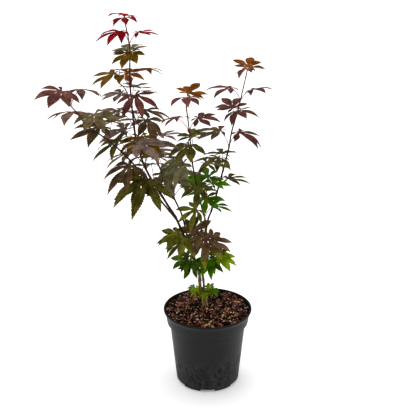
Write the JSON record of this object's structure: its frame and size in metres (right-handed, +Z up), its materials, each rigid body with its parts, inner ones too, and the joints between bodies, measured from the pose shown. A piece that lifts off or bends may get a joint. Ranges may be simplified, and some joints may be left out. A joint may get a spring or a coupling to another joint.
{
  "type": "potted japanese maple",
  "caption": "Young purple-leaved Japanese maple: thin upright stems with palmate leaves in opposite pairs, growing in a round tapered nursery pot of bark compost.",
  "frame": {"origin": "middle of the pot's flat underside, on the ground", "axes": "+Z up, -Y towards the front of the plant, +X to the right as seen from the front"},
  "size_m": [0.4072, 0.3328, 0.709],
  "materials": {
    "pot_plastic": "satin",
    "bark_compost": "rough",
    "stem_bark": "satin",
    "purple_foliage": "satin",
    "bronze_foliage": "satin",
    "green_foliage": "satin"
  },
  "bodies": {
    "root": {"pot": "pot_plastic", "compost": "bark_compost", "trunk": "stem_bark", "left_stem": "stem_bark", "far_left_stem": "stem_bark", "middle_stem": "stem_bark", "right_stem": "stem_bark", "right_branch": "stem_bark", "leader_leaves": "purple_foliage", "far_left_leaves": "purple_foliage", "right_leaves": "purple_foliage", "middle_leaves": "bronze_foliage", "centre_leaves": "bronze_foliage", "low_left_leaves": "bronze_foliage", "low_front_leaves": "bronze_foliage", "inner_leaves": "green_foliage", "low_dark_leaves": "green_foliage", "low_right_leaves": "green_foliage", "left_sprout_leaves": "green_foliage", "right_sprout_leaves": "green_foliage"}
  },
  "joints": []
}
